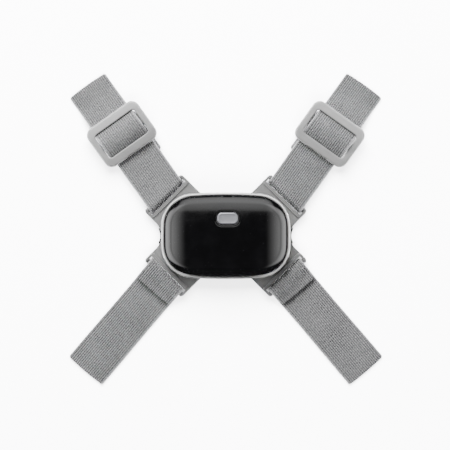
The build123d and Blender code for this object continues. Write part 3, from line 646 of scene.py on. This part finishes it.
# ------------------------------------------------------------------ the webbing
# Degrees from the X axis, and millimetres from a bar's centre to the cut end.
UPPER_ANGLE, LOWER_ANGLE = 54.4, 49.6
UPPER_LENGTH, LOWER_LENGTH = 76.4, 70.1
# Middle of the webbing round a bar, height of a bar, and a bar to its adjuster's middle.
LOOP_RADIUS = 2.15
BAR_HEIGHT = 2.75
ADJUSTER_AT = 41.8


def rounded_path(corners, radii, step=0.9):
    """Points of a line with round corners: distance out from the bar and height, with the heading."""
    corners = [Vector(c) for c in corners]
    path = []

    def run(start, end):
        length = (end - start).length
        if length < 1e-4:
            return
        heading = math.atan2(end.y - start.y, end.x - start.x)
        count = max(1, round(length / step))
        for n in range(count + 1):
            path.append((start.lerp(end, n / count), heading))

    last = corners[0]
    for before, here, after, radius in zip(corners, corners[1:], corners[2:], radii):
        into, out = (here - before).normalized(), (after - here).normalized()
        turn = math.atan2(into.cross(out), into.dot(out))
        trim = radius * math.tan(abs(turn) / 2)
        run(last, here - into * trim)
        side = math.copysign(1, turn)
        centre = here - into * trim + Vector((-into.y, into.x)) * radius * side
        heading = math.atan2(into.y, into.x)
        count = max(2, math.ceil(abs(turn) * max(radius, 1.5) / (step * 0.7)))
        for n in range(count + 1):
            angle = heading + turn * n / count
            spot = centre + Vector((math.sin(angle), -math.cos(angle))) * radius * side
            path.append((spot, angle))
        last = here + out * trim
    run(last, corners[-1])
    kept = [path[0]]
    for spot, heading in path[1:]:
        if (spot - kept[-1][0]).length > 1e-3:
            kept.append((spot, heading))
    return kept


def bar_turn():
    """Corners and radii of the half turn round the bar."""
    corners = [(-LOOP_RADIUS, BAR_HEIGHT + LOOP_RADIUS), (-LOOP_RADIUS, BAR_HEIGHT - LOOP_RADIUS)]
    return corners, [LOOP_RADIUS - 0.01] * 2


def lower_path():
    """A lower strap's line: stitched flap, turn round the bar, and the long layer."""
    turn, radii = bar_turn()
    corners = [(10.7, 1.9), (6.5, 1.9), (0.8, turn[0][1]), *turn, (LOWER_LENGTH, 0.6)]
    return rounded_path(corners, [6.0, 3.0, *radii])


def upper_paths():
    """An upper strap's two lines, which meet under the adjuster's outer bar.

    The near line goes over the crossbar in a hump, back to its own bar and round it, and out
    again below, where its sewn end holds the crossbar.
    """
    turn, radii = bar_turn()
    at, under = ADJUSTER_AT, 3.5
    meet = at + 10.6
    tail = [(UPPER_LENGTH, 0.6), (at + 26, 0.6), (at + 13.5, under), (meet, under)]
    near = [
        (meet, under),
        (at + 8.7, under),
        (at + 6.6, 6.3),
        (at, 9.5),
        (at - 6.6, 6.0),
        (at - 8.7, under),
        (17.0, under),
        (1.0, turn[0][1]),
        *turn,
        (at + 6.3, 0.6),
        (at + 6.3, 2.9),
        (at + 2.1, 5.3),
        (at - 2.35, 5.35),
        (at - 3.45, 1.9),
        (at - 19.8, 1.9),
    ]
    bends = [1.2, 1.9, 10.5, 1.9, 1.2, 12.0, 8.0, *radii, 1.1, 1.1, 2.0, 1.1, 0.8]
    return rounded_path(tail, [12.0, 12.0]), rounded_path(near, bends, 0.6)


def web_section(width, thick):
    """Across the webbing: ribs between two plain beads, top and then bottom, as (across, up) pairs."""
    own = sizes()
    pitch, depth = own.rib_pitch / MM, own.rib_depth / MM
    half, bead = width / 2, 0.5
    ribs = round((width - 2 * bead) / pitch)
    per_rib = 6
    skin = [(-half, 0.0)]
    for angle in (40, 75, 110, 140):
        a = math.radians(angle)
        skin.append((-half + bead - bead * math.cos(a), (thick / 2 - 0.03) * math.sin(a) ** 0.8))
    for n in range(ribs * per_rib + 1):
        across = -half + bead + 0.12 + (width - 2 * bead - 0.24) * n / (ribs * per_rib)
        phase = 2 * math.pi * n / per_rib
        skin.append((across, thick / 2 - depth * (0.5 + 0.5 * math.cos(phase)) ** 1.5))
    for angle in (140, 110, 75, 40):
        a = math.radians(angle)
        skin.append((half - bead + bead * math.cos(a), (thick / 2 - 0.03) * math.sin(a) ** 0.8))
    skin.append((half, 0.0))
    return skin + [(across, -up) for across, up in reversed(skin[1:-1])]


def strap_frame(joint, sign_x, sign_y, angle):
    """Where a strap starts on the ground, its direction, its bar's direction and its side direction."""
    bar_centre = Vector(JOINTS[joint]["pos_m"]) / MM
    bar = Vector((sign_x, -sign_y, 0)).normalized()
    strap = Vector((sign_x * math.cos(math.radians(angle)), sign_y * math.sin(math.radians(angle)), 0))
    side = strap.cross(Vector((0, 0, 1)))
    if bar.dot(side) < 0:
        side = -side
    return Vector((bar_centre.x, bar_centre.y, 0)), strap, bar, side


def smooth(value, low, high):
    """0 below low, 1 above high, and an even curve between."""
    t = min(1.0, max(0.0, (value - low) / (high - low)))
    return t * t * (3 - 2 * t)


def web_piece(name, path, ground, square, drift=None, start=0.0, cut_ends=(), seed=0.0):
    """Ribbed webbing along a path.

    square gives the distances between which the turn's slant fades out, and drift how far
    a layer has slid sideways at each point of the path.
    """
    origin, strap, bar, side = ground
    own = sizes()
    width, thick = own.web_width / MM, own.web_thick / MM
    section = web_section(width - 0.1, thick - 0.02)
    slant = bar.dot(strap) / bar.dot(side)
    lengths = [start]
    for (a, _), (b, _) in zip(path, path[1:]):
        lengths.append(lengths[-1] + (b - a).length)
    total = lengths[-1]

    def place(i, k):
        across, up = section[i % len(section)]
        spot, heading = path[k]
        along = lengths[k]
        flex = 0.12 * math.sin(along / 9.0 + seed) * math.sin(across / 7.0 + seed * 2)
        on_hump = spot.y > 4.5 and 30 < spot.x < 52 and k < len(path) / 3
        bulge = 0.042 * smooth(spot.y, 4.3, 6.0) if on_hump else 0.0
        lateral = across * (1 + bulge) + 0.10 * math.sin(along / 11.0 + seed * 3) * across / 12.5
        lateral += drift(spot.x, spot.y, k / (len(path) - 1)) if drift else 0.0
        out = spot.x - math.sin(heading) * up
        height = spot.y + math.cos(heading) * up
        lift = smooth(spot.x, 8, 20) * (1 if spot.y < 0.7 else 0) * abs(flex) * 0.5
        out += across * slant * (1 - smooth(spot.x, *square))
        for end in cut_ends:
            near = 1 - smooth(abs(along - (total if end else start)), 0.0, 5.0)
            corner = max(0.0, abs(across) - width / 2 + 1.4) / 1.4
            outward = math.copysign(1, math.cos(heading) * (1 if end else -1))
            out -= near * (0.5 * (across / 12.5) ** 2 + 0.9 * corner**2) * outward
        point = origin + strap * out + side * lateral + Vector((0, 0, max(height + lift, 0.02)))
        return point * MM

    def flat(i, k):
        return section[i % len(section)][0], lengths[k]

    bm = wrapped_grid(len(section), len(path) - 1, place, flat)
    bmesh.ops.remove_doubles(bm, verts=bm.verts, dist=1e-7)
    bmesh.ops.holes_fill(bm, edges=bm.edges, sides=0)
    piece = finished(name, bm, shared("knitted_elastic_webbing", ribbed_elastic))
    return piece


def stitches(name, ground, distance, top, rows, count=13):
    """Rows of sewing thread across a strap, each stitch dipping into the webbing at both ends."""
    origin, strap, bar, side = ground
    own = sizes()
    width, size = own.web_width / MM, own.thread / MM
    pitch = (width - 3.4) / count
    turn = Matrix((side, strap, Vector((0, 0, 1)))).transposed().to_4x4()
    bm = bmesh.new()
    for row in range(rows):
        for n in range(count):
            across = pitch * (n - (count - 1) / 2)
            spot = origin + strap * (distance + 3.0 * row) + side * across + Vector((0, 0, top + 0.02))
            shape = Matrix.Diagonal((pitch * 0.44, size / 2, size / 2, 1))
            place = Matrix.Scale(MM, 4) @ Matrix.Translation(spot) @ turn @ shape
            bmesh.ops.create_uvsphere(bm, u_segments=8, v_segments=6, radius=1, matrix=place)
    piece = finished(name, bm, shared("twisted_polyester_thread_and_edge_shade", twisted_thread))
    return piece


def build_lower_straps():
    """The two lower straps, each sewn back on itself round its bar."""
    for name, sign_x in SIDES:
        ground = strap_frame(f"lower_{name}_swing", sign_x, -1, LOWER_ANGLE)
        body, ends = f"lower_{name}_strap", {"cut_ends": (0, 1), "seed": 1.3 + sign_x}
        strap = web_piece(f"lower_{name}_strap_web", lower_path(), ground, (5.0, 9.0), **ends)
        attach(strap, body)
        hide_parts(f"lower_{name}_webbing")
        # This seam lies on the flap's cut end, and its near-black thread also paints the shade under that
        # edge.
        sewn = stitches(f"lower_{name}_seam", ground, 10.7, 2.36, 1, 16)
        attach(sewn, body)
        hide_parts(f"lower_{name}_stitching")


def build_upper_straps():
    """The two upper straps, each through its adjuster, round its bar, and sewn round the crossbar."""
    tail_path, near_path = upper_paths()
    for name, sign_x in SIDES:
        ground = strap_frame(f"upper_{name}_swing", sign_x, 1, UPPER_ANGLE)
        origin, strap, bar, side = ground
        body, slide = f"upper_{name}_strap", f"upper_{name}_slide"
        inner = -1.5 * math.copysign(1, side.x * sign_x)

        def drift(out, height, share):
            if share < 0.3:
                return -0.25 * math.copysign(1, inner) * smooth(out, 32, 36) * (1 - smooth(out, 48, 52))
            loose = 1.0 if height > 1.3 and out < 39 else smooth(out, 24, 36)
            return inner * smooth(share, 0.42, 0.5) * loose

        def spot(distance):
            return (origin + strap * distance) * MM

        seed, square = 0.4 + sign_x, (9.0, 19.0)
        tail = web_piece(f"upper_{name}_strap_tail", tail_path, ground, square, cut_ends=(0,), seed=seed)
        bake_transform(tail)
        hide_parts(f"upper_{name}_webbing")
        length = sum((b[0] - a[0]).length for a, b in zip(tail_path, tail_path[1:]))
        near = web_piece(
            f"upper_{name}_strap_loop", near_path, ground, square, drift, length, cut_ends=(1,), seed=seed
        )
        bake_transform(near)
        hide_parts(f"upper_{name}_webbing")
        sewn = stitches(f"upper_{name}_seam", ground, ADJUSTER_AT - 17.8, 2.5, 2)
        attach(sewn, slide)
        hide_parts(f"upper_{name}_stitching")


# ------------------------------------------------------------------ carried-over pieces
def build_cradle():
    """Moulded cradle with the polished bead along its rim, drawn a lighter grey than the cradle as a
    painted highlight, and its rubber back pad.
    """
    own = colours()
    nylon = moulded_plastic("moulded_grey_nylon", own.cradle, 0.22, 0.46, 0.35)
    repaint("cradle", nylon)
    repaint("back_pad", shared("moulded_silicone_rubber", soft_rubber))
    edge = unit_edge()
    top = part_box("cradle")[1].z + 0.06 * MM
    count = sizes().outline_points
    angles = [2 * math.pi * i / count for i in range(count)]
    middle, half = 1.125 * MM, 0.81 * MM

    def ring(grow, z):
        return [Vector((*reach(edge, a, grow), z)) for a in angles]

    rings = [ring(middle + half, top - 1.6 * MM)]
    steps = 14
    for n in range(steps + 1):
        a = math.pi * n / steps
        rings.append(ring(middle + half * math.cos(a), top - 0.7 * MM * (1 - math.sin(a))))
    rings.append(ring(middle - half, top - 1.6 * MM))
    # The bead's grey, lighter than the cradle's own nylon, is a painted highlight.
    satin = moulded_plastic("polished_grey_nylon_painted_highlight", own.rim, 0.3, 0.3, 0.1)
    bead = finished("cradle_rim_bead_painted_highlight", ring_grid(rings, closed=True), satin)
    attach(bead, "harness")


def adjuster_mesh(ground):
    """Frame with an arched, rounded top, and the round-edged crossbar under the webbing, as one mesh."""
    origin, strap, bar, side = ground
    low, high = 4.4, 7.4                     # underside and crown, in millimetres like all here
    outer = round_box(12.95, 17.5, 4.8)      # half along the strap, half across, and corner
    window = round_box(7.85, 13.7, 1.8)
    count = 144
    angles = [2 * math.pi * (i + 0.5) / count for i in range(count)]

    def arch(point):
        past = max(0.0, abs(point.x) - 7.0) / 5.95
        wing = max(0.0, abs(point.y) - 13.0) / 4.5
        return high - 1.15 * past**1.3 - 0.3 * wing**2 - 0.1 * (abs(point.x) / 13) ** 2

    def ring(edge, grow, drop=None, z=None):
        points = [reach(edge, a, grow, most=30.0) for a in angles]
        return [Vector((*p, arch(p) - drop if z is None else z)) for p in points]

    rings = [ring(outer, -0.3, z=low), ring(outer, 0.0, z=low + 0.3)]
    steps = 7
    for n in range(steps + 1):
        a = math.pi / 2 * n / steps
        rings.append(ring(outer, -1.1 * (1 - math.cos(a)), 1.1 * (1 - math.sin(a))))
    edge_out, edge_in = ring(outer, -1.1, 0.0), ring(window, 0.8, 0.0)
    for n in range(1, 8):
        share = n / 8
        points = [a.lerp(b, share) for a, b in zip(edge_out, edge_in)]
        rings.append([Vector((p.x, p.y, arch(p))) for p in points])
    for n in range(steps + 1):
        a = math.pi / 2 * n / steps
        rings.append(ring(window, 0.7 * (1 - math.sin(a)), 0.7 * (1 - math.cos(a))))
    rings += [ring(window, 0.0, z=low + 0.3), ring(window, 0.3, z=low)]
    bm = ring_grid(rings, closed=True)
    bmesh.ops.remove_doubles(bm, verts=bm.verts, dist=1e-7)

    box = Matrix.Translation((0, 0, 3.65)) @ Matrix.Diagonal((3.2, 29.0, 2.0, 1))
    crossbar = bmesh.ops.create_cube(bm, size=1, matrix=box)["verts"]
    ridges = {e for v in crossbar for e in v.link_edges}
    bmesh.ops.bevel(
        bm, geom=list(ridges), offset=0.75, segments=5, affect="EDGES", profile=0.5, material=-1
    )
    for end in (-1, 1):
        box = Matrix.Translation((0, end * 14.3, 4.8)) @ Matrix.Diagonal((4.6, 1.4, 3.9, 1))
        bmesh.ops.create_cube(bm, size=1, matrix=box)
    turn = Matrix((strap, side, Vector((0, 0, 1)))).transposed().to_4x4()
    place = Matrix.Scale(MM, 4) @ Matrix.Translation(origin + strap * ADJUSTER_AT) @ turn
    bmesh.ops.transform(bm, verts=bm.verts, matrix=place)
    return bm


def build_adjusters():
    """The two adjusters, each a frame with an arched top and a crossbar."""
    acetal = moulded_plastic("moulded_grey_acetal", colours().adjuster, 0.3, 0.36, 0.3)
    for name, sign_x in SIDES:
        ground = strap_frame(f"upper_{name}_swing", sign_x, 1, UPPER_ANGLE)
        piece = finished(f"upper_{name}_adjuster_moulding", adjuster_mesh(ground), acetal)
        piece.data.set_sharp_from_angle(angle=math.radians(50))
        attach(piece, f"upper_{name}_slide")
        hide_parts(f"upper_{name}_adjuster")


def build_inside():
    """Everything inside the unit, and its rear shell."""
    own = colours()
    repaint("rear_shell", moulded_plastic("textured_black_abs", own.rear, 0.25, 0.55, 0.3))
    tin = bright_metal("tinned_steel", "#B9B7B0", 0.32)
    steel = bright_metal("zinc_plated_steel", "#9C9DA0", 0.28)
    epoxy = moulded_plastic("black_epoxy_package", linear("#151516"), 0.12, 0.5, 0.2)
    copper = enamelled_wire()
    ferrite = moulded_plastic("sintered_ferrite", linear("#2B2B2D"), 0.08, 0.7, 0.4)
    rubber = shared("moulded_silicone_rubber", soft_rubber)
    finishes = {
        "shell_seal": rubber,
        "key_seal": rubber,
        "case_screws": steel,
        "switch_body": epoxy,
        "switch_plunger": moulded_plastic("moulded_white_nylon", linear("#D8D6CF"), 0.2, 0.45, 0.1),
        "main_board": solder_masked_board(),
        "battery_cell": bright_metal("laminated_pouch_foil", "#C9C9C6", 0.45),
        "battery_foam": rubber,
        "battery_plug": epoxy,
        "battery_leads": moulded_plastic("red_pvc_insulation", linear("#8E1712"), 0.3, 0.35, 0.2),
        "long_antenna_core": ferrite,
        "cross_antenna_core": ferrite,
        "long_antenna_winding": copper,
        "cross_antenna_winding": copper,
        "flat_antenna_coil": copper,
        "radio_shield": tin,
        "radio_chip": epoxy,
        "buzzer": epoxy,
        "vibration_motor": steel,
        "status_light": moulded_plastic("milky_led_lens", linear("#E9E7DC"), 0.3, 0.25, 0.0),
        "charging_socket": tin,
    }
    for node, finish in finishes.items():
        repaint(node, finish)


# ------------------------------------------------------------------ stage
def soft_box(name, place, aim, size, power, fade=0.0, ends=0.0):
    """A rectangular studio light that faces a point, and can fade towards its edges and its ends."""
    light = bpy.data.lights.new(name, "AREA")
    light.shape, light.size, light.size_y = "RECTANGLE", size[0], size[1]
    light.energy = power
    if fade:
        light.use_nodes = True
        tree = light.node_tree
        spot = add(tree, "SeparateXYZ", (add(tree, "NewGeometry", out="Parametric"),)).node
        across, up = spot.outputs[0], spot.outputs[1]
        down = add(tree, "Math", (1.0, up), operation="SUBTRACT")
        top = add(tree, "Math", (down, fade), operation="POWER")
        bottom = add(tree, "Math", (up, 0.5), operation="POWER")
        height = add(tree, "Math", (top, bottom), operation="MULTIPLY")
        back = add(tree, "Math", (1.0, across), operation="SUBTRACT")
        level = add(tree, "Math", (across, back), operation="MULTIPLY")
        level = add(tree, "Math", (level, 4.0), operation="MULTIPLY")
        level = add(tree, "Math", (level, ends), operation="POWER")
        level = add(tree, "Math", (height, level), operation="MULTIPLY")
        tree.links.new(level, tree.nodes["Emission"].inputs["Strength"])
    lamp = bpy.data.objects.new(name, light)
    lamp.location = place
    lamp.rotation_euler = (Vector(aim) - Vector(place)).to_track_quat("-Z", "Y").to_euler()
    bpy.context.scene.collection.objects.link(lamp)
    return lamp


def light_only(lamps, name, pieces, state):
    """Lets lamps light only these pieces, or all but these pieces."""
    group = bpy.data.collections.new(name)
    for number, piece in enumerate(pieces):
        group.objects.link(piece)
        group.collection_objects[number].light_linking.link_state = state
    for lamp in lamps:
        lamp.light_linking.receiver_collection = group


def build_stage():
    """Pale floor, soft studio lights and the camera."""
    matte = {"Roughness": 0.9, "Specular IOR Level": 0.1}
    material, tree, shader, place = surface("matte_studio_paper", **matte)
    fibre = add(tree, "TexNoise", {"Vector": place, "Scale": lumps(0.8), "Detail": 3.0, "Roughness": 0.5})
    white = colours().floor
    tone = add(tree, "Mix", {0: fibre, 6: shade(white, 0.99), 7: white}, 2, data_type="RGBA")
    finish(material, shader, {"Base Color": tone})
    bm = bmesh.new()
    bmesh.ops.create_grid(bm, x_segments=1, y_segments=1, size=4.0)
    floor = finished("studio_floor", bm, material)
    if floor.data.polygons[0].normal.z < 0:
        floor.data.flip_normals()
    floor.visible_glossy = False

    body = [
        soft_box("key_softbox", (-0.30, 0.95, 0.62), (0, 0, 0), (0.9, 0.5), 25.5),
        soft_box("overhead_softbox", (-0.1, 0.2, 1.1), (0, 0, 0), (0.9, 0.7), 1.0),
        soft_box("left_softbox", (-0.90, 0.05, 0.40), (0, 0, 0), (0.5, 0.4), 4.0),
        soft_box("right_softbox", (0.90, 0.05, 0.40), (0, 0, 0), (0.5, 0.4), 3.2),
    ]
    gloss = [
        soft_box("gloss_top_panel", (0.0, 0.79, 0.82), (0, 0.0, 0), (1.7, 1.57), 36.0, 0.28, 0.4),
        soft_box("gloss_left_panel", (-0.613, 0.0, 0.514), (-0.02, 0, 0), (0.95, 1.08), 50.0, 1.25, 0.4),
        soft_box("gloss_right_panel", (0.613, 0.0, 0.514), (0.02, 0, 0), (0.95, 1.08), 46.0, 1.25, 0.4),
    ]
    paper = [
        soft_box("paper_light", (-0.05, 1.2, 1.1), (0, 0, 0), (1.6, 1.3), 380.0),
        soft_box("paper_fill", (0.1, -1.2, 1.3), (0, 0, 0), (1.8, 1.2), 190.0),
    ]
    edge = [
        soft_box("rim_top_strip", (-0.2, 1.0, 0.24), (0, 0, 0), (1.0, 0.2), 62.0),
        soft_box("rim_left_strip", (-0.95, 0.42, 0.17), (0, 0, 0), (0.5, 0.14), 62.0),
        soft_box("rim_right_strip", (0.95, 0.42, 0.17), (0, 0, 0), (0.5, 0.14), 62.0),
        soft_box("rim_overhead", (-0.1, 0.2, 1.1), (0, 0, 0), (0.9, 0.7), 5.0),
    ]
    shell = bpy.data.objects["front_shell_polished"]
    bead = bpy.data.objects["cradle_rim_bead_painted_highlight"]
    light_only(body, "not_on_gloss", [shell, bead], "EXCLUDE")
    light_only(edge, "rim_only", [bead], "INCLUDE")
    light_only(gloss, "gloss_only", [shell], "INCLUDE")
    light_only(paper, "paper_only", [floor], "INCLUDE")

    world = bpy.data.worlds.new("studio")
    world.use_nodes = True
    backdrop = world.node_tree.nodes["Background"]
    backdrop.inputs[0].default_value = linear("#FFFFFF")
    backdrop.inputs[1].default_value = 0.05
    bpy.context.scene.world = world

    camera = bpy.data.cameras.new("camera")
    camera.lens = 169.0
    camera.clip_end = 50
    eye = bpy.data.objects.new("camera", camera)
    aim = Vector((-0.00045, 0.0061, 0.004))
    tilt = math.radians(89.5)
    back = Vector((0, -math.cos(tilt), math.sin(tilt)))
    eye.location = aim + back * 1.2
    eye.rotation_euler = (-back).to_track_quat("-Z", "Y").to_euler()
    bpy.context.scene.collection.objects.link(eye)
    bpy.context.scene.camera = eye


# ------------------------------------------------------------------ add-on
class TRANSCEIVER_OT_cradle(bpy.types.Operator):
    """Moulded cradle with the polished bead along its rim, drawn a lighter grey than the cradle as a
    painted highlight, and its rubber back pad.
    """

    bl_idname = "transceiver.cradle"
    bl_label = "Cradle and pad"

    def execute(self, context):
        build_cradle()
        return {"FINISHED"}


class TRANSCEIVER_OT_front_shell(bpy.types.Operator):
    """Polished dome with the key's recess and hole, and the plug's recess cut into its side."""

    bl_idname = "transceiver.front_shell"
    bl_label = "Front shell"

    def execute(self, context):
        build_front_shell()
        return {"FINISHED"}


class TRANSCEIVER_OT_key(bpy.types.Operator):
    """Key: a satin cap with a bevel round a gently dished top."""

    bl_idname = "transceiver.key"
    bl_label = "Key"

    def execute(self, context):
        build_key()
        return {"FINISHED"}


class TRANSCEIVER_OT_adjusters(bpy.types.Operator):
    """The two adjusters, each a frame with an arched top and a crossbar."""

    bl_idname = "transceiver.adjusters"
    bl_label = "Adjusters"

    def execute(self, context):
        build_adjusters()
        return {"FINISHED"}


class TRANSCEIVER_OT_inside(bpy.types.Operator):
    """Everything inside the unit, and its rear shell."""

    bl_idname = "transceiver.inside"
    bl_label = "Inside of the unit"

    def execute(self, context):
        build_inside()
        return {"FINISHED"}


class TRANSCEIVER_OT_lower_straps(bpy.types.Operator):
    """The two lower straps, each sewn back on itself round its bar."""

    bl_idname = "transceiver.lower_straps"
    bl_label = "Lower straps"

    def execute(self, context):
        build_lower_straps()
        return {"FINISHED"}


class TRANSCEIVER_OT_upper_straps(bpy.types.Operator):
    """The two upper straps, each through its adjuster, round its bar, and sewn round the crossbar."""

    bl_idname = "transceiver.upper_straps"
    bl_label = "Upper straps"

    def execute(self, context):
        build_upper_straps()
        return {"FINISHED"}


class TRANSCEIVER_OT_stage(bpy.types.Operator):
    """Pale floor, soft studio lights and the camera."""

    bl_idname = "transceiver.stage"
    bl_label = "Stage"

    def execute(self, context):
        build_stage()
        return {"FINISHED"}


class TRANSCEIVER_PT_panel(bpy.types.Panel):
    """Sizes, colours and one button for each group of pieces."""

    bl_label = "Transceiver"
    bl_idname = "TRANSCEIVER_PT_panel"
    bl_space_type = "VIEW_3D"
    bl_region_type = "UI"
    bl_category = "Transceiver"

    def draw(self, context):
        for group in (sizes(), colours()):
            for name in group.bl_rna.properties.keys():
                if name not in ("rna_type", "name"):
                    self.layout.prop(group, name)
        for step in STEPS:
            self.layout.operator(step.bl_idname)


# In the order they run: the stage lights some pieces apart, so it comes last.
STEPS = (
    TRANSCEIVER_OT_cradle,
    TRANSCEIVER_OT_front_shell,
    TRANSCEIVER_OT_key,
    TRANSCEIVER_OT_adjusters,
    TRANSCEIVER_OT_inside,
    TRANSCEIVER_OT_lower_straps,
    TRANSCEIVER_OT_upper_straps,
    TRANSCEIVER_OT_stage,
)
CLASSES = (TransceiverSizes, TransceiverColours, *STEPS, TRANSCEIVER_PT_panel)


def register():
    """Registers the classes and hangs the sizes and colours on the scene."""
    for cls in CLASSES:
        bpy.utils.register_class(cls)
    bpy.types.Scene.transceiver_sizes = PointerProperty(type=TransceiverSizes)
    bpy.types.Scene.transceiver_colours = PointerProperty(type=TransceiverColours)


def unregister():
    """Takes away what register added."""
    del bpy.types.Scene.transceiver_colours
    del bpy.types.Scene.transceiver_sizes
    for cls in reversed(CLASSES):
        bpy.utils.unregister_class(cls)


def main():
    """Registers the add-on and builds everything in order."""
    register()
    for step in STEPS:
        getattr(bpy.ops.transceiver, step.bl_idname.split(".")[1])()


if __name__ == "__main__":
    main()
